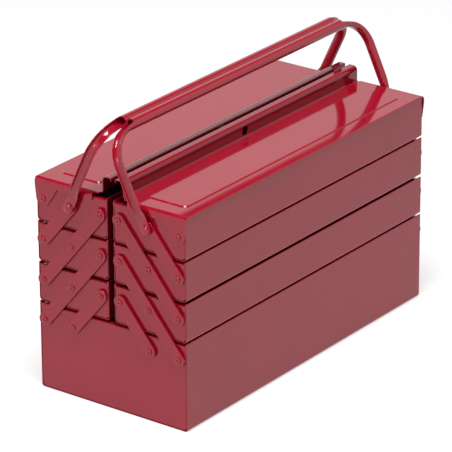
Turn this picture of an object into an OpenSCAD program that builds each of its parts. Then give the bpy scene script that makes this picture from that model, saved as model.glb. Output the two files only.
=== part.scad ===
// Cantilever tool box: a deep base bin, three levels of paired trays that
// swing out on riveted links at each end, two hinged lids and two bail handles.
// X runs along the box, the front is towards -Y, Z is up and Z = 0 is the
// underside of the base. Front pieces are drawn and the rear ones mirrored.

/* [Box] */
// Length over the end plates of the base and the trays
box_len = 436; // [360:1:560]
// Width over the long walls of the base
box_w = 197; // [180:1:260]
// Height of the base, up to the underside of the lowest trays
base_h = 102; // [80:1:150]
// Thickness of the sheet steel
sheet = 0.9; // [0.7:0.05:1.1]
// Outer radius of the bends along the floors
floor_bend = 3.5; // [2.5:0.1:6]
// Depth of the safe edge folded in along the long walls
hem_depth = 6; // [4:0.5:8]

/* [Trays] */
// Height step from one tray level to the next
tray_step = 46.4; // [42:0.1:60]
// Gap between the front and the rear trays
centre_gap = 7.5; // [6:0.1:12]
// Gap over the base and over the middle trays
seam_gap = 0.7; // [0.5:0.1:1.5]
// Gap over the lowest trays, which stand a little further apart
wide_seam_gap = 1.6; // [0.6:0.1:2.4]

/* [End plates] */
// How far the end plates stop below the tops of the long walls
end_drop = 2.5; // [1.5:0.1:4]
// Width of the rim folded in along the top of an end plate
end_rim = 5; // [4:0.5:8]
// Outer radius of that fold
end_rim_bend = 1.8; // [1.3:0.1:3]
// Outer radius of the bends at an end plate's sides and bottom
end_bend = 1.6; // [1.2:0.1:2.5]
// Length of the weld flanges inside the trough
weld_flange = 8; // [5:0.5:12]

/* [Links] */
// Width of a link
link_w = 15; // [12:0.5:18]
// Thickness of a link
link_t = 2.4; // [1.5:0.1:3]
// Gap between an end plate and the links
link_gap = 0.9; // [0.3:0.1:0.9]
// Distance of the outer and inner rivets from a tray's long walls
rivet_inset = 9; // [8.8:0.1:12]
// Distance of the rivets below the top of their level
rivet_drop = 20; // [14:0.5:24]
// Free play between two pieces that turn on one rivet
side_play = 0.3; // [0.2:0.05:0.4]

/* [Rivets] */
// Diameter of a rivet's shank
rivet_d = 4; // [3:0.1:5]
// Diameter of a rivet's head
rivet_head_d = 7.4; // [6.2:0.1:8.5]
// Height of a rivet's head
rivet_head_h = 1.3; // [1:0.1:1.6]
// Diameter of the hollow in the middle of a head
rivet_hollow_d = 2.2; // [1:0.1:2.6]
// Radial clearance of a hole that turns on a rivet or a bolt
pivot_play = 0.1; // [0.05:0.01:0.15]
// Radial clearance of a hole that doesn't turn
hole_play = 0.05; // [0.03:0.01:0.1]

/* [Lids] */
// Height of a lid's top face over its pivots
lid_rise = 23.3; // [21:0.1:28]
// Overhang of a lid past the long wall
lid_overhang = 1.5; // [1.4:0.1:3]
// Depth of the hem along the outer edge
lid_hem = 2.6; // [2:0.1:3.2]
// Depth of the skirts at the ends
lid_skirt = 9.5; // [8:0.1:11]
// Outer radius of the bend over the skirts
lid_end_bend = 5; // [1.5:0.1:6]
// Gap between an end plate and the lid's skirts and ears
lid_gap = 0.7; // [0.3:0.1:0.9]
// Radius of the ear round the pivot
ear_r = 8.8; // [7:0.1:8.9]
// Distance of the raised panel from the lid's ends
panel_end_inset = 22; // [12:1:40]
// Distance of the raised panel from the lid's outer edge and from the ridge
panel_side_inset = 16; // [10:1:24]
// Corner radius of the raised panel
panel_r = 7; // [3:0.5:12]
// How far the panel is pressed up
panel_rise = 1.2; // [0.5:0.1:1.5]
// Width of the slope round the panel
panel_slope = 1.6; // [1:0.1:2.5]

/* [Ridge] */
// Height of the ridge over the lid's top face
ridge_h = 18; // [15:0.5:24]
// Distance from the middle plane to the outer face of a ridge wall
ridge_half = 14; // [12.5:0.5:18]
// Radius of the fillet at the foot
ridge_foot_r = 2; // [1.5:0.1:3.5]
// Outer radius of the shoulder
ridge_shoulder_r = 5; // [2:0.5:6.5]
// Depth of the lip turned down beside the slot
ridge_lip = 4; // [3:0.5:6]
// Width of the slot between the two halves
ridge_slot = 5; // [1:0.1:8]
// How far the ridge stops short of the lid's ends
ridge_setback = 7; // [5:0.5:14]
// Diameter of the padlock holes
lock_hole_d = 10.6; // [7:0.1:11]
// Height of the padlock holes over the lid's top face
lock_hole_up = 7.5; // [7:0.1:8]

/* [Handles] */
// Distance from a handle's pivots to the middle of its grip
handle_reach = 108.6; // [90:0.1:140]
// Outer diameter of the tube that the grip is rolled into
grip_d = 12; // [11:0.5:16]
// Distance of the grip's open ends from the inner faces of the legs
grip_inset = 35; // [32:1:60]
// Gap between the two closed grips
grip_gap = 0.5; // [0.3:0.1:2]
// Width of a handle's legs
leg_w = 12; // [11:0.5:15]
// Thickness of a handle's sheet
handle_t = 1.2; // [1:0.1:1.6]
// Depth of the edges folded out along the legs
leg_edge = 4.2; // [3.4:0.1:5]
// Outer radius of the folds along the legs
leg_fold_r = 3; // [1.8:0.1:3.3]
// Inner radius of a handle's bends
handle_bend_r = 29; // [20:1:30]
// Height over the pivot where the folded edges start
leg_eye_h = 13; // [11:0.5:20]
// Diameter of the handle bolts
bolt_d = 5; // [4:0.5:6]
// Diameter of a bolt's domed head
bolt_head_d = 11.5; // [10:0.5:13]
// Height of a bolt's domed head
bolt_head_h = 3.4; // [2.5:0.1:4.5]
// Width across the flats of the bolts' nuts
nut_af = 8; // [7:0.5:10]
// Thickness of the nuts
nut_h = 3.2; // [2:0.1:4]
// Diameter of the spacer bushes under the handles
spacer_d = 9.5; // [8:0.5:11]

/* [Hidden] */
$fn = 48;
paint = [0.55, 0.07, 0.11];
left = 0;
right = 1;
front = 0;
rear = 1;
bend_steps = 6;

// Rims and levels
tray_w = (box_w - centre_gap) / 2;
base_rim = base_h - seam_gap;
function tray_floor(level) = base_h + (level - 1) * tray_step;
function rivet_z(level) = base_h - rivet_drop + level * tray_step;

// Rivet columns, measured from the middle plane
y_outer = box_w / 2 - rivet_inset;
y_inner = centre_gap / 2 + rivet_inset;
y_mid = (y_outer + y_inner) / 2;
columns = [y_inner, y_mid, y_outer];
link_step_y = y_mid - y_inner;

// Stack of the pieces outside an end plate, measured along X
end_x = box_len / 2;
link_in = end_x + link_gap;
link_out = link_in + link_t;
ear_in = end_x + lid_gap;
ear_out = ear_in + sheet;
head_top = max(link_out, ear_out) + side_play + rivet_head_h;
leg_in = head_top + side_play;
web_out = leg_in + handle_t;

// How far the round ends of a link stand past its straight sides
end_bulge = 0.03;

// Lids
lid_len = 2 * ear_out;
lid_z = rivet_z(3) + lid_rise;
lid_y = box_w / 2 + lid_overhang;
ridge_end = lid_len / 2 - ridge_setback;
foot_y = ridge_half + ridge_foot_r;
skirt_end_y = foot_y + ridge_setback;
lid_swing_gap = 0.4;
corner_cut = max(0.4, lid_end_bend - 3);

// Walls of the top trays stop inside the circle that clears the turning lid
top_wall_rise = sqrt(pow(lid_rise - sheet - lid_swing_gap, 2) - pow(rivet_inset, 2));
function tray_h(level) =
    level == 1 ? tray_step - wide_seam_gap :
    level == 2 ? tray_step - seam_gap :
    rivet_z(3) + top_wall_rise - tray_floor(3);

// Handles: the lean lets the two grips meet over the middle plane
grip_y = (grip_d + grip_gap) / 2;
handle_lean = asin((y_mid - grip_y) / handle_reach);
grip_half = leg_in - grip_inset;
bolt_end = end_x - sheet - nut_h - 1;

// ---- Helpers ----

// Points of an arc from angle a to angle b
function arc(c, r, a, b, n = bend_steps) =
    [for (i = [0 : n]) c + r * [cos(a + (b - a) * i / n), sin(a + (b - a) * i / n)]];

// Point where the line from p touches the circle, on the left or right of it
function touch(p, c, r, side) =
    let (d = norm(p - c), base = atan2(p.y - c.y, p.x - c.x))
    c + r * [cos(base + side * acos(r / d)), sin(base + side * acos(r / d))];

// Turn a YZ outline into a solid from x0 to x1
module along_x(x0, x1)
    translate([x0, 0, 0]) rotate([90, 0, 90]) linear_extrude(x1 - x0) children();

// Turn an XZ outline into a solid from y0 to y1
module along_y(y0, y1)
    translate([0, y1, 0]) rotate([90, 0, 0]) linear_extrude(y1 - y0) children();

module on_side(side) mirror([0, side, 0]) children();
module at_end(end) mirror([1 - end, 0, 0]) children();

// ---- Troughs and end plates ----

// Folded sheet trough, seen from its end: floor, bends and hemmed walls
module trough_outline(w, h)
    polygon(concat(
        arc([floor_bend, floor_bend], floor_bend, 270, 180),
        arc([sheet, h - sheet], sheet, 180, 0),
        [[2 * sheet, h - hem_depth], [sheet, h - hem_depth]],
        arc([floor_bend, floor_bend], floor_bend - sheet, 180, 270),
        arc([w - floor_bend, floor_bend], floor_bend - sheet, 270, 360),
        [[w - sheet, h - hem_depth], [w - 2 * sheet, h - hem_depth]],
        arc([w - sheet, h - sheet], sheet, 180, 0),
        arc([w - floor_bend, floor_bend], floor_bend, 0, -90)));

// Trough from end to end of the box, with its front wall's face at y = -y0
module trough(y0, w, z, h)
    translate([0, -y0, z]) along_x(-end_x, end_x) trough_outline(w, h);

// Flat plate, bend and flange along one edge of an end plate, seen along the
// edge: the plate's face is at x = 0 and the flange lies on y = 0
module flange_outline()
    polygon(concat(
        arc([-end_bend, end_bend], end_bend, 0, -90),
        [[-weld_flange, 0], [-weld_flange, sheet], [-end_bend, sheet]],
        arc([-end_bend, end_bend], end_bend - sheet, 270, 360)));

// End plate at +X: it closes the trough's end, its rim is folded in at the top
// and its flanges lie on the floor and the walls, where they are welded
module end_plate(y0, w, z, h) {
    shoulder = h - hem_depth - hole_play;
    top = h - end_drop;
    hem_y = 2 * sheet + hole_play;
    edge = sheet + end_bend;
    corner = max(floor_bend, edge + 0.5);
    translate([end_x, -y0, z]) {
        along_x(-sheet, 0)
            polygon([
                [corner, edge], [w - corner, edge], [w - edge, corner],
                [w - edge, shoulder], [w - hem_y, shoulder],
                [w - hem_y, top - end_rim_bend], [hem_y, top - end_rim_bend],
                [hem_y, shoulder], [edge, shoulder], [edge, corner]]);
        along_y(hem_y, w - hem_y)
            polygon(concat(
                [[0, top - end_rim_bend - sheet]],
                arc([-end_rim_bend, top - end_rim_bend], end_rim_bend, 0, 90),
                [[-end_rim, top], [-end_rim, top - sheet]],
                arc([-end_rim_bend, top - end_rim_bend], end_rim_bend - sheet, 90, 0),
                [[-sheet, top - end_rim_bend - sheet]]));
        translate([0, sheet, corner]) linear_extrude(shoulder - corner) flange_outline();
        translate([0, w - sheet, corner]) linear_extrude(shoulder - corner)
            mirror([0, 1]) flange_outline();
        along_y(corner, w - corner) translate([0, sheet]) flange_outline();
    }
}

// Bores through an end plate for the rivets of one level
module plate_bores(z, ys, d)
    for (y = ys)
        translate([end_x - 2 * sheet, y, z]) rotate([0, 90, 0])
            cylinder(d = d + 2 * hole_play, h = 3 * sheet);

module base_end(end)
    color(paint) at_end(end) difference() {
        end_plate(box_w / 2, box_w, 0, base_rim);
        plate_bores(rivet_z(0), [-y_outer, -y_mid, y_mid, y_outer], rivet_d);
    }

module base_pan()
    color(paint) trough(box_w / 2, box_w, 0, base_rim);

module tray_pan(side, level) {
    top = tray_floor(3) + tray_h(3);
    color(paint) on_side(side) difference() {
        trough(box_w / 2, tray_w, tray_floor(level), tray_h(level));
        // The top trays' walls lose their corners, to clear the turning lid's bends
        if (level == 3) for (end = [left, right]) at_end(end) along_y(-box_w, 0)
            polygon([[end_x - corner_cut - 1, top + 1], [end_x + 1, top + 1],
                [end_x + 1, top - corner_cut - 1]]);
    }
}

module tray_end(side, level, end)
    color(paint) on_side(side) at_end(end) difference() {
        end_plate(box_w / 2, tray_w, tray_floor(level), tray_h(level));
        plate_bores(rivet_z(level), [-y_inner, -y_outer], rivet_d);
        plate_bores(rivet_z(level), [-y_mid], level == 3 ? bolt_d : rivet_d);
    }

// ---- Rivets ----

// One rivet at +X: clinched tail inside the plate, shank through the stack and
// a low dome with a hollow middle outside; out is the face its head lies over
module rivet(y, z, out) {
    tail_over = 1.1;
    tail_r = rivet_d / 2 + tail_over;
    tail_t = 0.8;
    dimple = rivet_head_h / 2;
    head_in = out + side_play - end_x + sheet;
    head_r = rivet_head_d / 2;
    rim = 0.4;
    crown = rivet_head_h - rim;
    translate([end_x - sheet, y, z]) rotate([0, 90, 0]) rotate_extrude()
        polygon(concat(
            [[0, -tail_t], [tail_r, -tail_t], [tail_r, 0], [rivet_d / 2, 0]],
            [[rivet_d / 2, head_in], [head_r, head_in], [head_r, head_in + rim]],
            [for (a = [15 : 15 : 45])
                [head_r - (head_r - rivet_hollow_d / 2) * (1 - cos(a)) * 2,
                 head_in + rim + crown * sin(a) / sin(45)]],
            [[rivet_hollow_d / 2, head_in + rivet_head_h]],
            [[rivet_hollow_d / 2, head_in + rivet_head_h - dimple]],
            [[0, head_in + rivet_head_h - dimple]]));
}

module base_rivets()
    color(paint) for (side = [front, rear], end = [left, right])
        on_side(side) at_end(end) for (y = [y_mid, y_outer])
            rivet(-y, rivet_z(0), link_out);

module tray_rivets(side, level)
    color(paint) on_side(side) for (end = [left, right]) at_end(end) {
        rivet(-y_inner, rivet_z(level), link_out);
        rivet(-y_outer, rivet_z(level), level == 3 ? ear_out : link_out);
        if (level < 3) rivet(-y_mid, rivet_z(level), link_out);
    }

// ---- Links ----

// Flat link at +X whose lowest pivot is in the given column and level; it
// rises inward over the given number of steps, with a pivot at each
module link(side, end, column, level, steps) {
    pivots = [for (i = [0 : steps])
        [-columns[column - i], rivet_z(level + i)]];
    run = pivots[steps] - pivots[0];
    color(paint) on_side(side) at_end(end) along_x(link_in, link_out)
        difference() {
            union() {
                translate(pivots[0]) rotate(atan2(run.y, run.x))
                    translate([0, end_bulge - link_w / 2])
                        square([norm(run), link_w - 2 * end_bulge]);
                for (p = [pivots[0], pivots[steps]]) translate(p) circle(d = link_w);
            }
            for (i = [0 : steps])
                translate(pivots[i]) circle(d = 2 * pivot_play
                    + (level + i == 3 && column - i == 1 ? bolt_d : rivet_d));
        }
}

// ---- Lids ----

// Cap with rounded top edges, before it is hollowed; g is the inset of all its
// faces, so the same outline makes the outside and the inside of the shell
module lid_block(g) {
    end_r = lid_end_bend - g;
    hem_bend = 1.4 * sheet;
    hem_r = hem_bend - g;
    half = lid_len / 2 - g;
    intersection() {
        along_y(-lid_y, -foot_y + 1)
            polygon(concat(
                [[-half, lid_z - lid_skirt - g]],
                arc([-half + end_r, lid_z - g - end_r], end_r, 180, 90),
                arc([half - end_r, lid_z - g - end_r], end_r, 90, 0),
                [[half, lid_z - lid_skirt - g]]));
        along_x(-lid_len / 2, lid_len / 2)
            polygon(concat(
                [[-foot_y + g, lid_z - lid_skirt - g]],
                [[-foot_y + g, lid_z - g]],
                arc([-lid_y + g + hem_r, lid_z - g - hem_r], hem_r, 90, 180, 4),
                [[-lid_y + g, lid_z - lid_skirt - g]]));
    }
}

// Ear at +X: it hangs from the skirt round the lid's pivot
module lid_ear() {
    c = [-y_outer, rivet_z(3)];
    skirt_z = lid_z - lid_skirt;
    outer = [-lid_y, skirt_z];
    ear_slope = 2.2;
    inner = [-y_outer + ear_slope * ear_r, skirt_z];
    a = touch(outer, c, ear_r, 1);
    b = touch(inner, c, ear_r, -1);
    along_x(ear_in, ear_out) difference() {
        union() {
            translate(c) circle(r = ear_r);
            polygon([outer, a, c, b, inner, inner + [0, sheet], outer + [0, sheet]]);
        }
        translate(c) circle(d = rivet_d + 2 * pivot_play);
    }
}

// Half of the ridge, seen from its end: foot fillet, wall, shoulder and lip
module ridge_outline() {
    top = lid_z + ridge_h;
    slot = ridge_slot / 2;
    lip_r = 1.5 * sheet;
    shoulder = [-ridge_half + ridge_shoulder_r, top - ridge_shoulder_r];
    foot = [-foot_y, lid_z + ridge_foot_r];
    lip = [-slot - lip_r, top - lip_r];
    polygon(concat(
        [[-foot_y - 1, lid_z - sheet], [-foot_y - 1, lid_z]],
        arc(foot, ridge_foot_r, 270, 360),
        arc(shoulder, ridge_shoulder_r, 180, 90, 10),
        arc(lip, lip_r, 90, 0),
        [[-slot, top - ridge_lip], [-slot - sheet, top - ridge_lip]],
        arc(lip, lip_r - sheet, 0, 90),
        arc(shoulder, ridge_shoulder_r - sheet, 90, 180, 10),
        arc(foot, ridge_foot_r + sheet, 360, 270)));
}

// Raised panel as a low mound with sloped sides and round corners
module panel_mound() {
    x = lid_len / 2 - panel_end_inset - panel_r;
    y0 = -lid_y + panel_side_inset + panel_r;
    y1 = -foot_y - panel_side_inset + ridge_foot_r - panel_r;
    top_r = panel_r - panel_slope;
    top = lid_z + panel_rise;
    along_y(y0, y1)
        polygon([[-x - panel_r, lid_z], [x + panel_r, lid_z], [x + top_r, top], [-x - top_r, top]]);
    along_x(-x, x)
        polygon([[y0 - panel_r, lid_z], [y1 + panel_r, lid_z], [y1 + top_r, top], [y0 - top_r, top]]);
    for (cx = [-x, x], cy = [y0, y1]) translate([cx, cy, lid_z])
        cylinder(r1 = panel_r, r2 = top_r, h = panel_rise);
}

module lid(side) {
    color(paint) on_side(side) difference() {
        union() {
            difference() {
                lid_block(0);
                lid_block(sheet);
                // Cuts the long wall back to its hem
                intersection() {
                    translate([0, -2 * sheet, 0]) lid_block(sheet);
                    translate([-lid_len / 2, -lid_y - 3 * sheet, lid_z - 2 * lid_skirt])
                        cube([lid_len, 5 * sheet, 2 * lid_skirt - lid_hem]);
                }
                translate([0, 0, -sheet]) panel_mound();
            }
            difference() {
                panel_mound();
                translate([0, 0, -sheet]) panel_mound();
            }
            along_x(-ridge_end, ridge_end) ridge_outline();
            for (end = [left, right]) at_end(end) lid_ear();
        }
        // Rounds the corners beside the ridge and ends the skirts before them
        for (end = [left, right]) at_end(end)
            translate([ridge_end, -skirt_end_y, lid_z - lid_skirt - 1]) {
                difference() {
                    cube([ridge_setback + 1, ridge_setback + 2, lid_skirt + 2]);
                    cylinder(r = ridge_setback, h = lid_skirt + 2);
                }
                cube([ridge_setback + 1, ridge_setback + 2, lid_skirt + 1 - sheet]);
            }
        translate([0, -ridge_half - 1, lid_z + lock_hole_up]) rotate([-90, 0, 0])
            cylinder(d = lock_hole_d, h = 1 + 2 * sheet);
    }
}

// ---- Handles ----

// Places a handle, drawn upright over its pivots, on the front top tray
module on_handle(side)
    on_side(side) translate([0, -y_mid, rivet_z(3)]) rotate([-handle_lean, 0, 0])
        children();

// Channel of a leg in plan: its web is at x = 0 and its edges point to +x
module leg_outline() {
    side = leg_w / 2;
    r = leg_fold_r;
    inner = r - handle_t;
    polygon(concat(
        [[leg_edge, -side]], arc([r, r - side], r, 270, 180),
        arc([r, side - r], r, 180, 90), [[leg_edge, side], [leg_edge, side - handle_t]],
        arc([r, side - r], inner, 90, 180), arc([r, r - side], inner, 180, 270),
        [[leg_edge, handle_t - side]]));
}

// Half of a handle at +X, upright over its pivot: leg, bend and the run to
// the mouth of the grip, with the folded edges sloped off over the flat eye
module handle_half() {
    turn_z = handle_reach - grip_d / 2 - handle_bend_r;
    turn_x = leg_in - handle_bend_r;
    tip_r = handle_bend_r + leg_edge;
    mouth = [grip_half, handle_reach - 1];
    difference() {
        union() {
            translate([leg_in, 0, 0]) linear_extrude(turn_z) leg_outline();
            translate([turn_x, 0, turn_z]) rotate([90, 0, 0]) rotate_extrude(angle = 90)
                translate([handle_bend_r, 0]) leg_outline();
            translate([grip_half, 0, turn_z]) rotate([90, 0, 90])
                linear_extrude(turn_x - grip_half)
                    rotate(90) translate([handle_bend_r, 0]) leg_outline();
            for (y = [-leg_w / 2, leg_w / 2 - handle_t]) along_y(y, y + handle_t)
                polygon([mouth, touch(mouth, [turn_x, turn_z], tip_r, -1),
                    [turn_x, turn_z + tip_r - handle_t],
                    [grip_half, turn_z + tip_r - handle_t]]);
        }
        along_y(-leg_w, leg_w)
            polygon([[leg_in + handle_t, -1], [leg_in + handle_t, leg_eye_h],
                [leg_in + 2 * leg_edge, leg_eye_h + 3 * leg_edge], [leg_in + 2 * leg_edge, -1]]);
        translate([leg_in - 1, -leg_w, -1]) cube([leg_edge, 2 * leg_w, leg_eye_h + 1]);
    }
    along_x(leg_in, web_out) {
        circle(d = leg_w);
        translate([-leg_w / 2, 0]) square([leg_w, leg_eye_h + leg_fold_r]);
    }
}

module handle(side)
    color(paint) on_handle(side) difference() {
        union() {
            for (end = [left, right]) at_end(end) handle_half();
            // The grip, rolled from the same sheet
            translate([-grip_half - handle_t, 0, handle_reach]) rotate([0, 90, 0])
                difference() {
                    cylinder(d = grip_d, h = 2 * (grip_half + handle_t));
                    translate([0, 0, -1])
                        cylinder(d = grip_d - 2 * handle_t, h = 2 * (grip_half + handle_t + 1));
                }
        }
        for (end = [left, right]) at_end(end)
            translate([leg_in - 1, 0, 0]) rotate([0, 90, 0])
                cylinder(d = bolt_d + 2 * pivot_play, h = handle_t + 2);
    }

// Bolt at +X with a domed head over the eye of a leg
module handle_bolts(side) {
    head_in = web_out + side_play / 2;
    color(paint) on_side(side) for (end = [left, right]) at_end(end)
        translate([bolt_end, -y_mid, rivet_z(3)]) rotate([0, 90, 0]) rotate_extrude()
            polygon(concat(
                [[0, 0], [bolt_d / 2, 0], [bolt_d / 2, head_in - bolt_end]],
                [[bolt_head_d / 2, head_in - bolt_end]],
                [for (a = [10 : 16 : 74])
                    [bolt_head_d / 2 * cos(a), head_in - bolt_end + bolt_head_h * sin(a)]],
                [[0, head_in - bolt_end + bolt_head_h]]));
}

module handle_spacers(side)
    color(paint) on_side(side) for (end = [left, right]) at_end(end)
        translate([link_out + side_play, -y_mid, rivet_z(3)]) rotate([0, 90, 0])
            difference() {
                cylinder(d = spacer_d, h = leg_in - link_out - 2 * side_play);
                translate([0, 0, -1])
                    cylinder(d = bolt_d + 2 * hole_play, h = leg_in - link_out + 2);
            }

module handle_nuts(side)
    color(paint) on_side(side) for (end = [left, right]) at_end(end)
        translate([end_x - sheet - nut_h, -y_mid, rivet_z(3)]) rotate([0, 90, 0])
            difference() {
                cylinder(d = nut_af / cos(30), h = nut_h, $fn = 6);
                translate([0, 0, -1]) cylinder(d = bolt_d + 2 * hole_play, h = nut_h + 2);
            }

// ---- Pieces ----

base_pan();
base_end(left);  // base_left_end
base_end(right);  // base_right_end
base_rivets();

tray_pan(front, 1);  // front_lower_tray
tray_end(front, 1, left);  // front_lower_left_end
tray_end(front, 1, right);  // front_lower_right_end
tray_rivets(front, 1);  // front_lower_rivets
tray_pan(front, 2);  // front_middle_tray
tray_end(front, 2, left);  // front_middle_left_end
tray_end(front, 2, right);  // front_middle_right_end
tray_rivets(front, 2);  // front_middle_rivets
tray_pan(front, 3);  // front_upper_tray
tray_end(front, 3, left);  // front_upper_left_end
tray_end(front, 3, right);  // front_upper_right_end
tray_rivets(front, 3);  // front_upper_rivets

tray_pan(rear, 1);  // rear_lower_tray
tray_end(rear, 1, left);  // rear_lower_left_end
tray_end(rear, 1, right);  // rear_lower_right_end
tray_rivets(rear, 1);  // rear_lower_rivets
tray_pan(rear, 2);  // rear_middle_tray
tray_end(rear, 2, left);  // rear_middle_left_end
tray_end(rear, 2, right);  // rear_middle_right_end
tray_rivets(rear, 2);  // rear_middle_rivets
tray_pan(rear, 3);  // rear_upper_tray
tray_end(rear, 3, left);  // rear_upper_left_end
tray_end(rear, 3, right);  // rear_upper_right_end
tray_rivets(rear, 3);  // rear_upper_rivets

link(front, left, 1, 0, 1);  // front_left_lower_short_link
link(front, right, 1, 0, 1);  // front_right_lower_short_link
link(front, left, 2, 0, 2);  // front_left_lower_long_link
link(front, right, 2, 0, 2);  // front_right_lower_long_link
link(front, left, 2, 1, 2);  // front_left_upper_long_link
link(front, right, 2, 1, 2);  // front_right_upper_long_link
link(front, left, 2, 2, 1);  // front_left_upper_short_link
link(front, right, 2, 2, 1);  // front_right_upper_short_link

link(rear, left, 1, 0, 1);  // rear_left_lower_short_link
link(rear, right, 1, 0, 1);  // rear_right_lower_short_link
link(rear, left, 2, 0, 2);  // rear_left_lower_long_link
link(rear, right, 2, 0, 2);  // rear_right_lower_long_link
link(rear, left, 2, 1, 2);  // rear_left_upper_long_link
link(rear, right, 2, 1, 2);  // rear_right_upper_long_link
link(rear, left, 2, 2, 1);  // rear_left_upper_short_link
link(rear, right, 2, 2, 1);  // rear_right_upper_short_link

lid(front);  // front_lid
lid(rear);  // rear_lid

handle(front);  // front_handle
handle_bolts(front);  // front_handle_bolts
handle_spacers(front);  // front_handle_spacers
handle_nuts(front);  // front_handle_nuts

handle(rear);  // rear_handle
handle_bolts(rear);  // rear_handle_bolts
handle_spacers(rear);  // rear_handle_spacers
handle_nuts(rear);  // rear_handle_nuts
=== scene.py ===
import math

import bmesh
import bpy
import numpy as np
from mathutils import Matrix


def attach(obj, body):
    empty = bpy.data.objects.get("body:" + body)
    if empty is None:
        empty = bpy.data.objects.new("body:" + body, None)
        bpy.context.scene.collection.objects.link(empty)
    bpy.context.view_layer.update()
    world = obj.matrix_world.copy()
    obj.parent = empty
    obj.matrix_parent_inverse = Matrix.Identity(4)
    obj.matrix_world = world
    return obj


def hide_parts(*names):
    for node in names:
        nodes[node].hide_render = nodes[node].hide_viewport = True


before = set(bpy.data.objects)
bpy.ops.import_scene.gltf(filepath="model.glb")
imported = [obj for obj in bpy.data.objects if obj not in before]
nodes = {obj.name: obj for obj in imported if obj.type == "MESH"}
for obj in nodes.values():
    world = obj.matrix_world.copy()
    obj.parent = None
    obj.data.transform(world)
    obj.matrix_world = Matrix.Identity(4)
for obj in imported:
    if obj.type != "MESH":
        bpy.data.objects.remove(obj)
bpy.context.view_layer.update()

# Base bin

# The deep bin that everything stands on: one folded sheet for the floor and
# the long walls, with end plates spot-welded in and safe edges turned inwards.
# Mild steel, sprayed with a glossy deep red enamel inside and out.

mm = 0.001
sheet_ripple, sheet_peel, sheet_gloss = 0.10, 0.004, 0.09
sheared_edge = 0.25 * mm


def red_enamel(name, ripple_mm, peel_mm, gloss, shift, shade_part=None, ior=1.5):
    """Glossy red paint on steel. Its bump adds a slow ripple of the sheet
    (ripple_mm high over about 70 mm) and the fine orange peel of the spray
    (peel_mm high over about 2 mm). The red drifts a little in depth over the
    sheet, and so does the roughness around gloss. shift moves the pattern, so
    that neighbouring sheets don't share one. Where a part is given, shade is
    painted into the colour: a dark red on the faces that look into the gap
    between the columns ("gap"), or inside the ridge and in part on its outer walls ("ridge")."""
    deep_red, light_red = (0.360, 0.0035, 0.020, 1.0), (0.440, 0.0055, 0.028, 1.0)
    drift_waves, satin_waves, ripple_waves, peel_waves = 9.0, 60.0, 14.0, 500.0
    satin_spread = 0.3
    mat = bpy.data.materials.new(name)
    mat.use_nodes = True
    tree = mat.node_tree
    shader = tree.nodes["Principled BSDF"]
    shader.inputs["IOR"].default_value = ior
    place = tree.nodes.new("ShaderNodeMapping")
    place.inputs["Location"].default_value = (shift, 0.7 * shift, 0.0)
    where = tree.nodes.new("ShaderNodeTexCoord").outputs["Object"]
    tree.links.new(where, place.inputs["Vector"])

    def noise(waves_per_metre, detail):
        pattern = tree.nodes.new("ShaderNodeTexNoise")
        pattern.inputs["Scale"].default_value = waves_per_metre
        pattern.inputs["Detail"].default_value = detail
        tree.links.new(place.outputs["Vector"], pattern.inputs["Vector"])
        return pattern.outputs["Fac"]

    depth = tree.nodes.new("ShaderNodeMix")
    depth.data_type = "RGBA"
    depth.inputs["A"].default_value = deep_red
    depth.inputs["B"].default_value = light_red
    tree.links.new(noise(drift_waves, 2.0), depth.inputs["Factor"])
    colour = depth.outputs["Result"]
    # shade painted into the colour at the gap or the ridge
    if shade_part:
        colour = paint_shade(tree, colour, shade_part)
    tree.links.new(colour, shader.inputs["Base Color"])

    satin = tree.nodes.new("ShaderNodeMapRange")
    satin.inputs["To Min"].default_value = gloss * (1 - satin_spread)
    satin.inputs["To Max"].default_value = gloss * (1 + satin_spread)
    tree.links.new(noise(satin_waves, 3.0), satin.inputs["Value"])
    tree.links.new(satin.outputs["Result"], shader.inputs["Roughness"])

    ripple = tree.nodes.new("ShaderNodeBump")
    ripple.inputs["Distance"].default_value = ripple_mm * mm
    tree.links.new(noise(ripple_waves, 0.0), ripple.inputs["Height"])
    peel = tree.nodes.new("ShaderNodeBump")
    peel.inputs["Distance"].default_value = peel_mm * mm
    tree.links.new(noise(peel_waves, 1.0), peel.inputs["Height"])
    tree.links.new(ripple.outputs["Normal"], peel.inputs["Normal"])
    tree.links.new(peel.outputs["Normal"], shader.inputs["Normal"])
    return mat


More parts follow.
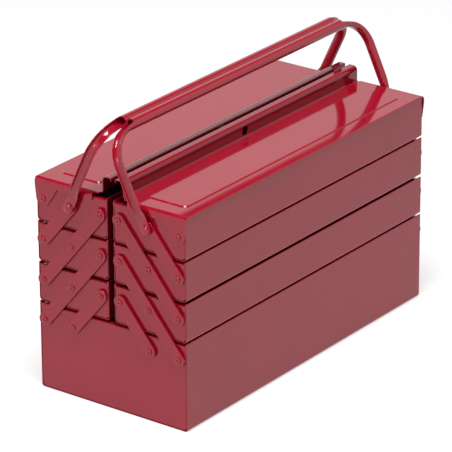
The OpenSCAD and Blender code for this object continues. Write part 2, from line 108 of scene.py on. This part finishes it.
def paint_shade(tree, colour, part):
    """Painted shade: a dark red mixed into the colour on the faces by the middle
    plane ("gap"), or on all faces under the ridge that look inwards or down
    ("ridge"). The ridge's walls that look outwards get a share of that painted shade."""
    # the dark red of the painted shade
    shade_red = (0.160, 0.0018, 0.0095, 1.0)
    gap_half, ridge_half = 4.2 * mm, 16.2 * mm
    facing_in, facing_out, wall_shade_share = -0.1, 0.6, 0.6
    coordinates = tree.nodes.new("ShaderNodeTexCoord")
    place = tree.nodes.new("ShaderNodeSeparateXYZ")
    facing = tree.nodes.new("ShaderNodeSeparateXYZ")
    tree.links.new(coordinates.outputs["Object"], place.inputs[0])
    tree.links.new(coordinates.outputs["Normal"], facing.inputs[0])

    def worked_out(operation, first, second=0.0):
        node = tree.nodes.new("ShaderNodeMath")
        node.operation = operation
        for socket, value in zip(node.inputs, (first, second)):
            if isinstance(value, float):
                socket.default_value = value
            else:
                tree.links.new(value, socket)
        return node.outputs[0]

    off_middle = worked_out("ABSOLUTE", place.outputs["Y"])
    if part == "gap":
        shade_amount = worked_out("LESS_THAN", off_middle, gap_half)
    else:
        side_sign = worked_out("SIGN", place.outputs["Y"])
        outward = worked_out("MULTIPLY", side_sign, facing.outputs["Y"])
        out_or_up = worked_out("ADD", outward, facing.outputs["Z"])
        inside = worked_out("LESS_THAN", out_or_up, facing_in)
        on_wall = worked_out("GREATER_THAN", outward, facing_out)
        wall = worked_out("MULTIPLY", on_wall, wall_shade_share)
        near = worked_out("LESS_THAN", off_middle, ridge_half)
        shade_amount = worked_out("MULTIPLY", worked_out("ADD", inside, wall), near)
    shade_mix = tree.nodes.new("ShaderNodeMix")
    shade_mix.data_type = "RGBA"
    shade_mix.inputs["B"].default_value = shade_red
    tree.links.new(shade_amount, shade_mix.inputs["Factor"])
    tree.links.new(colour, shade_mix.inputs["A"])
    return shade_mix.outputs["Result"]


def smooth_bends():
    """Node group that shades a mesh smooth but for edges over 32 degrees."""
    group = bpy.data.node_groups.new("smooth_bends", "GeometryNodeTree")
    group.interface.new_socket("Geometry", in_out="INPUT", socket_type="NodeSocketGeometry")
    group.interface.new_socket("Geometry", in_out="OUTPUT", socket_type="NodeSocketGeometry")
    source = group.nodes.new("NodeGroupInput")
    result = group.nodes.new("NodeGroupOutput")
    faces = group.nodes.new("GeometryNodeSetShadeSmooth")
    faces.domain = "FACE"
    bends = group.nodes.new("GeometryNodeSetShadeSmooth")
    bends.domain = "EDGE"
    angle = group.nodes.new("GeometryNodeInputMeshEdgeAngle")
    gentle = group.nodes.new("FunctionNodeCompare")
    gentle.data_type = "FLOAT"
    gentle.operation = "LESS_THAN"
    gentle.inputs["B"].default_value = math.radians(32)
    group.links.new(source.outputs[0], faces.inputs["Geometry"])
    group.links.new(faces.outputs[0], bends.inputs["Geometry"])
    group.links.new(angle.outputs["Unsigned Angle"], gentle.inputs["A"])
    group.links.new(gentle.outputs[0], bends.inputs["Shade Smooth"])
    group.links.new(bends.outputs[0], result.inputs[0])
    return group


bends_group = smooth_bends()


def soften(node, width):
    """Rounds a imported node's sheared edges by width: its loose triangles are
    joined, flat areas merged, bends shaded smooth, and every edge sharper than
    40 degrees gets a small round of two steps. Large faces keep their own
    normals, so only the bends beside them are shaded round."""
    join = node.modifiers.new("join", "WELD")
    join.merge_threshold = 0.01 * mm
    flat = node.modifiers.new("flat", "DECIMATE")
    flat.decimate_type = "DISSOLVE"
    flat.angle_limit = math.radians(0.5)
    shade = node.modifiers.new("shade", "NODES")
    shade.node_group = bends_group
    edge = node.modifiers.new("edge", "BEVEL")
    edge.width = width
    edge.segments = 2
    edge.limit_method = "ANGLE"
    edge.angle_limit = math.radians(40)
    edge.use_clamp_overlap = True
    even = node.modifiers.new("even", "WEIGHTED_NORMAL")
    even.keep_sharp = True


def paint(names, mat, edge_width):
    """Puts one paint on CAD nodes and rounds their edges."""
    for name in names:
        nodes[name].data.materials.clear()
        nodes[name].data.materials.append(mat)
        soften(nodes[name], edge_width)


paint(("base_pan", "base_left_end", "base_right_end"),
      red_enamel("base_enamel", sheet_ripple, sheet_peel, sheet_gloss, 0.0), sheared_edge)

# Trays

# Six shallow trays in two columns of three, built like the base bin: folded
# trough, end plates with a rolled-in rim, the same enamel. Painted shade darkens
# it on the walls that look into the narrow gap between the columns.

levels = ("lower", "middle", "upper")
sides = ("front", "rear")

for number, level in enumerate(levels):
    tray_paint = red_enamel(f"{level}_tray_enamel", sheet_ripple, sheet_peel, sheet_gloss,
                            1.0 + number, "gap")
    for side in sides:
        paint([f"{side}_{level}_{part}" for part in ("tray", "left_end", "right_end")],
              tray_paint, sheared_edge)

# Links

# Flat steel bars with round ends that carry the trays on rivets, blanked and
# tumbled before paint, so their edges are a little rounder than the sheets'.

ends = ("left", "right")
tumbled_edge = 0.4 * mm
link_paint = red_enamel("link_enamel", 0.02, sheet_peel, sheet_gloss, 5.0)
for kind in ("lower_short", "lower_long", "upper_long", "upper_short"):
    paint([f"{side}_{end}_{kind}_link" for side in sides for end in ends],
          link_paint, tumbled_edge)

# Rivets

# Steel pivot rivets with low domed heads and a hollow middle, set before the
# box was painted: the tail is clinched inside the end plate, the shank runs
# through the link and the head stands a fraction of a millimetre over it.

# Sizes in millimetres, as in the CAD model: where the pivots are, and how the
# pieces stack outside the end plates
pivot_mid, pivot_spacing = 51.125, 38.375
pivot_y = {"inner": pivot_mid - pivot_spacing, "mid": pivot_mid,
           "outer": pivot_mid + pivot_spacing}
base_pivot, level_step = 82.0, 46.4
pivot_z = {level: base_pivot + level_step * number
           for number, level in enumerate(("base", *levels))}
plate_out, sheet, side_play = 218.0, 0.9, 0.3
link_gap, link_t, ear_gap = 0.9, 2.4, 0.7
link_out = plate_out + link_gap + link_t
ear_out = plate_out + ear_gap + sheet
rivet_head_h = 1.3


def grid(rows, columns, closed):
    """Quads between neighbouring rows of points; each row closes on itself,
    and where closed is true the last row joins the first."""
    i = np.arange(rows if closed else rows - 1)[:, None]
    j = np.arange(columns)[None, :]
    next_i, next_j = (i + 1) % rows, (j + 1) % columns
    return np.stack([i * columns + j, i * columns + next_j, next_i * columns + next_j,
                     next_i * columns + j], -1).reshape(-1, 4).tolist()


def lathe(profile, steps):
    """Closed surface of revolution about +X: point (x, r) of the profile goes
    to (x, r cos t, r sin t) for steps even angles t. A profile that starts and
    ends at r = 0 closes at two poles, any other one closes on itself."""
    x, r = np.asarray(profile, float).T
    poles = r[0] == 0 and r[-1] == 0
    rings = slice(1, -1) if poles else slice(None)
    x_ring, r_ring = x[rings, None], r[rings, None]
    t = np.linspace(0, 2 * np.pi, steps, endpoint=False)[None, :]
    points = np.stack([x_ring + 0 * t, r_ring * np.cos(t), r_ring * np.sin(t)], -1)
    count = len(points)
    faces = grid(count, steps, not poles)
    points = points.reshape(-1, 3)
    if poles:
        j, next_j = np.arange(steps), (np.arange(steps) + 1) % steps
        first, last = count * steps, count * steps + 1
        points = np.vstack([points, [x[0], 0, 0], [x[-1], 0, 0]])
        top = (count - 1) * steps
        faces += np.stack([np.full(steps, first), next_j, j], -1).tolist()
        faces += np.stack([np.full(steps, last), top + j, top + next_j], -1).tolist()
    return points, faces


def placed(solid, end, y, z):
    """Moves a solid drawn about the X axis to (y, z), mirrored for the left end."""
    points, faces = solid
    sign = 1 if end == "right" else -1
    return points * (sign, 1, 1) + (0, y, z), faces


def build(name, solids, body, mat, replaced):
    """One piece from closed solids in millimetres, faces turned outwards, that
    rides on a body and stands for a CAD node."""
    offsets = np.cumsum([0] + [len(points) for points, faces in solids[:-1]])
    faces = [[int(start) + corner for corner in face]
             for start, (points, part) in zip(offsets, solids) for face in part]
    mesh = bpy.data.meshes.new(name)
    mesh.from_pydata((np.vstack([points for points, part in solids]) * mm).tolist(), [], faces)
    shell = bmesh.new()
    shell.from_mesh(mesh)
    bmesh.ops.recalc_face_normals(shell, faces=shell.faces)
    shell.to_mesh(mesh)
    shell.free()
    mesh.shade_smooth()
    mesh.set_sharp_from_angle(angle=math.radians(50))
    piece = bpy.data.objects.new(name, mesh)
    bpy.context.scene.collection.objects.link(piece)
    mesh.materials.append(mat)
    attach(piece, body)
    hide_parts(replaced)
    return piece


def rivet_solid(out):
    """Rivet over the face at out. The head is a quarter of an ellipse from its
    rim to its crown, then turns down over a small lip into a round cup."""
    shank_r, tail, tail_r, tail_round = 2.0, 0.8, 3.1, 0.4
    head_r, rim, rim_round = 3.7, 0.25, 0.1
    cup_r, lip, cup_depth = 1.3, 0.25, 0.95
    inside, under = plate_out - sheet, out + side_play
    crown = under + rivet_head_h
    t = np.linspace(0, np.pi / 2, 9)
    dome_x = under + rim + (rivet_head_h - rim) * np.sin(t)
    dome_r = head_r - (head_r - cup_r - lip) * (1 - np.cos(t))
    lip_x, lip_r = crown - lip + lip * np.sin(t), cup_r + lip * np.cos(t)
    cup_x, cup_ring = crown - lip - (cup_depth - lip) * np.sin(t), cup_r * np.cos(t)
    back = [(inside - tail, 0), (inside - tail, tail_r - tail_round),
            (inside - 0.7 * tail, tail_r - tail_round / 4), (inside, tail_r), (inside, shank_r),
            (under, shank_r), (under, head_r - rim_round), (under + rim_round, head_r)]
    front = np.vstack([np.stack([dome_x, dome_r], 1),
                       np.stack([lip_x, lip_r], 1)[::-1][1:],
                       np.stack([cup_x, cup_ring], 1)[1:-1], [(cup_x[-1], 0)]])
    return lathe(np.vstack([back, front]), 40)


rivet_paint = red_enamel("rivet_enamel", 0.0, 0.002, 0.10, 6.0)
over_link, over_ear = rivet_solid(link_out), rivet_solid(ear_out)
column_rivets = {
    "base": [("mid", over_link), ("outer", over_link)],
    "lower": [("inner", over_link), ("mid", over_link), ("outer", over_link)],
    "middle": [("inner", over_link), ("mid", over_link), ("outer", over_link)],
    "upper": [("inner", over_link), ("outer", over_ear)],
}


def rivet_set(side, level):
    """The rivets of one level on one side, at both ends of the box."""
    sign = -1 if side == "front" else 1
    return [placed(solid, end, sign * pivot_y[column], pivot_z[level])
            for end in ends for column, solid in column_rivets[level]]


build("base_pivot_rivets", rivet_set("front", "base") + rivet_set("rear", "base"),
      "base", rivet_paint, "base_rivets")
for side in sides:
    for level in levels:
        build(f"{side}_{level}_pivot_rivets", rivet_set(side, level), f"{side}_{level}_tray",
              rivet_paint, f"{side}_{level}_rivets")

# Lids

# Two pressed sheet lids hinged on ears at the outer edges. Each carries half
# of the ridge, a raised panel, a turned-down hem and short skirts at the ends.
# The enamel is a little smoother than the trays'; painted shade darkens it inside the ridge and
# on its outer walls.

lid_paint = red_enamel("lid_enamel", 0.06, sheet_peel, 0.08, 7.0, "ridge")
paint(("front_lid", "rear_lid"), lid_paint, 0.3 * mm)

# Handles

# Two bails, each pressed from one sheet of steel: a flat eye at each foot, a
# channel leg with folded-out edges, and a grip rolled into an open tube. Each
# foot turns on a domed bolt over a bush, with a nut inside the upper tray.

handle_reach, grip_r, grip_gap, grip_inset = 106.0, 6.0, 0.5, 35.0
leg_w, leg_edge, leg_sheet, fold_r, bend_r, eye_h = 12.0, 5.4, 1.2, 5.0, 29.0, 13.0
bolt_r, pivot_play, edge_round, edge_steps = 2.5, 0.1, 0.4, 7
half_t = leg_sheet / 2
leg_in = link_out + rivet_head_h + 2 * side_play
grip_half = leg_in - grip_inset
lean = math.asin((pivot_mid - grip_r - grip_gap / 2) / handle_reach)


def step(x):
    """Smooth step from 0 at x = 0 to 1 at x = 1."""
    x = np.clip(x, 0, 1)
    return x * x * (3 - 2 * x)


def folded_leg():
    """Leg, bend and mouth of a handle at +X, as one strip of sheet swept along
    its path. At each station s the strip's middle line is drawn by its heading:
    heading(a) = (1 - roll) fold ramp(a) + roll a / r, where a is the distance
    from the web's middle. ramp rises from 0 to 1 along the fold's arc, fold
    goes from 0 at the flat eye to 90 degrees, and roll goes from 0 to 1 before
    the mouth, where the section is an arc of the tube with radius r. The
    strip's half width grows from the eye's through the channel's to the
    mouth's arc, and both its edges are rounded."""
    folded_at, widened_at, climb, flare, roll_lead = 11, 20, 15, 1.7, 1.1
    eye_part, mouth_part, mouth_arc = 22, 16, math.radians(118)
    web, arc_r, tube_r = leg_w / 2 - fold_r, fold_r - half_t, grip_r - half_t
    arc = arc_r * np.pi / 2
    channel = web + arc + leg_edge - fold_r
    mouth = tube_r * mouth_arc
    turn_x, turn_z, path_r = leg_in - bend_r, handle_reach - grip_r - bend_r, bend_r + half_t
    straight = turn_z - eye_h
    run = straight + path_r * np.pi / 2 + turn_x - grip_half
    s = np.concatenate([np.linspace(0, eye_part, 26),
                        np.linspace(eye_part, run - mouth_part, 34)[1:],
                        np.linspace(run - mouth_part, run, 40)[1:]])[:, None]
    fold = np.pi / 2 * step(s / folded_at)
    to_mouth = np.clip(1 - (run - s) / climb, 0, 1)
    roll = step(to_mouth * roll_lead)
    half_w = (leg_w / 2 + (channel - leg_w / 2) * step(s / widened_at)
              + (mouth - channel) * to_mouth ** flare)
    a = np.linspace(0, 1, 22)[None, :] * (half_w - edge_round)
    heading = (1 - roll) * fold * np.clip((a - web) / arc, 0, 1) + roll * a / tube_r
    gap = np.diff(a, axis=1)
    across = np.cumsum(gap * (np.cos(heading[:, 1:]) + np.cos(heading[:, :-1])) / 2, axis=1)
    rise = np.cumsum(gap * (np.sin(heading[:, 1:]) + np.sin(heading[:, :-1])) / 2, axis=1)
    across, rise = (np.hstack([0 * s, part]) for part in (across, rise))
    turn = np.linspace(np.pi / 2, -np.pi / 2, edge_steps)[None, 1:-1]
    tip = heading[:, -1:]
    out, off = edge_round * np.cos(turn), half_t * np.sin(turn)
    tip_across = across[:, -1:] + out * np.cos(tip) - off * np.sin(tip)
    tip_rise = rise[:, -1:] + out * np.sin(tip) + off * np.cos(tip)
    inner = across - half_t * np.sin(heading), rise + half_t * np.cos(heading)
    outer = across + half_t * np.sin(heading), rise - half_t * np.cos(heading)
    half_y = np.hstack([inner[0], tip_across, outer[0][:, ::-1]])
    half_n = np.hstack([inner[1], tip_rise, outer[1][:, ::-1]])
    loop_y = np.hstack([half_y, -half_y[:, ::-1][:, 1:-1]])
    loop_n = np.hstack([half_n, half_n[:, ::-1][:, 1:-1]])
    angle = np.clip((s - straight) / path_r, 0, np.pi / 2)
    beyond = np.maximum(s - straight - path_r * np.pi / 2, 0)
    below = np.minimum(s - straight, 0)
    reach = path_r + loop_n
    points = np.stack([turn_x + reach * np.cos(angle) - beyond, loop_y,
                       turn_z + reach * np.sin(angle) + below], -1)
    # The first and the last section are closed by strips across the sheet
    rows, columns = loop_y.shape
    k, far = np.arange(a.shape[1] - 1), columns // 2
    strips = np.stack([k, k + 1, far - 1 - k, far - k], -1)
    edge = np.arange(a.shape[1] - 1, far - a.shape[1] + 2)
    caps = [(first + np.array(face) % columns).tolist()
            for first in (0, (rows - 1) * columns) for face in [*strips, *-strips, edge, -edge]]
    return points.reshape(-1, 3), grid(rows, columns, False) + caps


def eye():
    """Flat foot of a leg with the bolt's hole: rings from the hole out to a
    round end with straight sides. The reach at angle t is half the leg's width
    for the lower half, and for the upper one the nearer of that over |cos t|
    and eye_h over sin t. The free edge is rounded."""
    half_w, hole_r, small = leg_w / 2, bolt_r + pivot_play, 0.01
    corner = math.atan2(eye_h, half_w)
    t = np.concatenate([np.linspace(-np.pi, 0, 33)[:-1], np.linspace(0, corner, 9)[:-1],
                        np.linspace(corner, np.pi - corner, 13)[:-1],
                        np.linspace(np.pi - corner, np.pi, 9)[:-1]])[:, None]
    side_r = half_w / np.maximum(np.abs(np.cos(t)), small)
    top_r = eye_h / np.maximum(np.sin(t), small)
    reach = np.where(t < 0, half_w, np.minimum(side_r, top_r))
    at_leg = (t > corner - small) & (t < np.pi - corner + small)
    rounding = np.where(at_leg, 0, edge_round)
    turn = np.linspace(np.pi / 2, -np.pi / 2, edge_steps)[None, :]
    tip = reach - rounding + rounding * np.cos(turn)
    r = np.hstack([0 * t + hole_r, tip, 0 * t + hole_r])
    x = leg_in + half_t * (1 + np.hstack([0 * t + 1, np.sin(turn) + 0 * t, 0 * t - 1]))
    points = np.stack([x, r * np.cos(t), r * np.sin(t)], -1)
    return points.reshape(-1, 3), grid(*r.shape, True)


def bolt():
    """Bolt with a domed head: shank from inside the nut to the eye's outside,
    then a thin rim and half an ellipse up to the crown."""
    head_r, rim, height, head_round, tail_round, past_plate = 5.75, 0.5, 3.4, 0.15, 0.3, 4.2
    tail = plate_out - sheet - past_plate
    under = leg_in + leg_sheet + side_play / 2
    t = np.linspace(0, np.pi / 2, 14)[:-1]
    dome = np.stack([under + rim + (height - rim) * np.sin(t), head_r * np.cos(t)], 1)
    shank = [(tail, 0), (tail, bolt_r - tail_round), (tail + tail_round, bolt_r),
             (under, bolt_r), (under, head_r - head_round), (under + head_round, head_r)]
    return lathe(np.vstack([shank, dome, [(under + height, 0)]]), 48)


def leaned(solid, side):
    """Turns a solid drawn upright over its pivot inwards by the angle lean, so
    that its grip meets the other handle's, and puts it on an upper tray."""
    points, faces = solid
    x, y, z = points.T
    out = y * math.cos(lean) + z * math.sin(lean) - pivot_mid
    lift = z * math.cos(lean) - y * math.sin(lean) + pivot_z["upper"]
    return np.stack([x, out if side == "front" else -out, lift], 1), faces


handle_paint = red_enamel("handle_enamel", 0.0, 0.003, 0.09, 8.0, ior=1.55)
grip_points, grip_faces = lathe([(-grip_half, grip_r), (grip_half, grip_r),
                                 (grip_half, grip_r - leg_sheet),
                                 (-grip_half, grip_r - leg_sheet)], 64)
grip = grip_points + (0, 0, handle_reach), grip_faces
foot, leg = eye(), folded_leg()
for side in sides:
    sign = -1 if side == "front" else 1
    solids = [grip] + [placed(part, end, 0, 0) for end in ends for part in (foot, leg)]
    build(f"{side}_bail", [leaned(solid, side) for solid in solids], f"{side}_handle",
          handle_paint, f"{side}_handle")
    build(f"{side}_domed_bolts",
          [placed(bolt(), end, sign * pivot_mid, pivot_z["upper"]) for end in ends],
          f"{side}_upper_tray", handle_paint, f"{side}_handle_bolts")
    paint((f"{side}_handle_spacers", f"{side}_handle_nuts"), handle_paint, 0.2 * mm)

# Studio

# A plain white floor that fades into a white surround, a large soft lamp from
# above, a smaller one at the near end, and the camera at the photograph's angle.

floor_half, floor_drop = 9.0, 0.0002
floor_grey, floor_lift = 0.60, 0.55


def white_floor():
    """Matte pale floor; the camera and reflections see it lifted, so that only
    the soft contact shadow stays below pure white."""
    mat = bpy.data.materials.new("studio_white")
    mat.use_nodes = True
    tree = mat.node_tree
    shader = tree.nodes["Principled BSDF"]
    shader.inputs["Base Color"].default_value = (floor_grey, floor_grey, floor_grey, 1.0)
    shader.inputs["Roughness"].default_value = 0.9
    lift = tree.nodes.new("ShaderNodeEmission")
    add = tree.nodes.new("ShaderNodeAddShader")
    path = tree.nodes.new("ShaderNodeLightPath")
    seen = tree.nodes.new("ShaderNodeMath")
    seen.operation = "MAXIMUM"
    strength = tree.nodes.new("ShaderNodeMath")
    strength.operation = "MULTIPLY"
    strength.inputs[1].default_value = floor_lift
    tree.links.new(path.outputs["Is Camera Ray"], seen.inputs[0])
    tree.links.new(path.outputs["Is Glossy Ray"], seen.inputs[1])
    tree.links.new(seen.outputs[0], strength.inputs[0])
    tree.links.new(strength.outputs[0], lift.inputs["Strength"])
    tree.links.new(shader.outputs[0], add.inputs[0])
    tree.links.new(lift.outputs[0], add.inputs[1])
    tree.links.new(add.outputs[0], tree.nodes["Material Output"].inputs["Surface"])
    return mat


floor_mesh = bpy.data.meshes.new("studio_floor")
floor_mesh.from_pydata([(-floor_half, -floor_half, -floor_drop),
                        (floor_half, -floor_half, -floor_drop),
                        (floor_half, floor_half, -floor_drop),
                        (-floor_half, floor_half, -floor_drop)], [], [(0, 1, 2, 3)])
floor = bpy.data.objects.new("studio_floor", floor_mesh)
bpy.context.scene.collection.objects.link(floor)
floor.data.materials.append(white_floor())

# The surround lights the part evenly, reflections see white walls with a dark
# ceiling over them, and the camera sees plain white
ambient_light, wall_glow, ceiling_glow = 0.40, 1.22, 0.12
wall_top, ceiling_from = math.radians(32), math.radians(44)
white = (1.0, 1.0, 1.0, 1.0)
world = bpy.data.worlds.new("studio_world")
world.use_nodes = True
bpy.context.scene.world = world
sky = world.node_tree
ambient = sky.nodes["Background"]
ambient.inputs["Color"].default_value = white
ambient.inputs["Strength"].default_value = ambient_light
walls = sky.nodes.new("ShaderNodeBackground")
direction = sky.nodes.new("ShaderNodeTexCoord")
height = sky.nodes.new("ShaderNodeSeparateXYZ")
ceiling = sky.nodes.new("ShaderNodeMapRange")
ceiling.interpolation_type = "SMOOTHSTEP"
ceiling.inputs["From Min"].default_value = math.sin(wall_top)
ceiling.inputs["From Max"].default_value = math.sin(ceiling_from)
ceiling.inputs["To Min"].default_value = wall_glow
ceiling.inputs["To Max"].default_value = ceiling_glow
sky.links.new(direction.outputs["Generated"], height.inputs[0])
sky.links.new(height.outputs["Z"], ceiling.inputs["Value"])
sky.links.new(ceiling.outputs["Result"], walls.inputs["Strength"])
backdrop = sky.nodes.new("ShaderNodeBackground")
backdrop.inputs["Color"].default_value = white
rays = sky.nodes.new("ShaderNodeLightPath")
to_glossy = sky.nodes.new("ShaderNodeMixShader")
to_camera = sky.nodes.new("ShaderNodeMixShader")
sky.links.new(rays.outputs["Is Glossy Ray"], to_glossy.inputs[0])
sky.links.new(ambient.outputs[0], to_glossy.inputs[1])
sky.links.new(walls.outputs[0], to_glossy.inputs[2])
sky.links.new(rays.outputs["Is Camera Ray"], to_camera.inputs[0])
sky.links.new(to_glossy.outputs[0], to_camera.inputs[1])
sky.links.new(backdrop.outputs[0], to_camera.inputs[2])
sky.links.new(to_camera.outputs[0], sky.nodes["World Output"].inputs["Surface"])


def frame_of(side, up, back, spot):
    """Matrix that turns an object's X, Y and Z axes to side, up and back and
    puts it at spot."""
    pose = np.eye(4)
    pose[:3, 0], pose[:3, 1], pose[:3, 2], pose[:3, 3] = side, up, back, spot
    return Matrix(pose.tolist())


def soft_lamp(name, spot, size, power):
    """A square lamp at spot that faces the middle of the box."""
    data = bpy.data.lights.new(name, "AREA")
    data.shape = "SQUARE"
    data.size = size
    data.energy = power
    lamp = bpy.data.objects.new(name, data)
    bpy.context.scene.collection.objects.link(lamp)
    away = np.array(spot) - (0.0, 0.0, 0.15)
    away /= np.linalg.norm(away)
    side = np.cross((0.0, 0.0, 1.0), away)
    side /= np.linalg.norm(side)
    lamp.matrix_world = frame_of(side, np.cross(away, side), away, spot)
    return lamp


soft_lamp("top_softbox", (-0.5, -0.35, 2.3), 0.75, 33.0)
soft_lamp("end_softbox", (-2.6, 0.1, 1.0), 0.6, 10.0)

# The camera as fitted to the photograph, with its focal length in pixels
turn, tilt, roll = math.radians(-53.26), math.radians(22.88), math.radians(-0.318)
focal_px, photo_px, camera_spot = 3612.6, 452, (-2.9261, -2.1718, 1.6746)
back = np.array([math.sin(turn) * math.cos(tilt), -math.cos(turn) * math.cos(tilt),
                 math.sin(tilt)])
right = np.cross(-back, (0.0, 0.0, 1.0))
right /= np.linalg.norm(right)
up = np.cross(right, -back)
across = right * math.cos(roll) + up * math.sin(roll)
upward = -right * math.sin(roll) + up * math.cos(roll)
camera_data = bpy.data.cameras.new("photo_camera")
camera_data.sensor_width = 36.0
camera_data.lens = focal_px / photo_px * camera_data.sensor_width
camera_data.clip_end = 50.0
camera = bpy.data.objects.new("photo_camera", camera_data)
bpy.context.scene.collection.objects.link(camera)
camera.matrix_world = frame_of(across, upward, back, camera_spot)
bpy.context.scene.camera = camera
bpy.context.scene.view_settings.view_transform = "Standard"
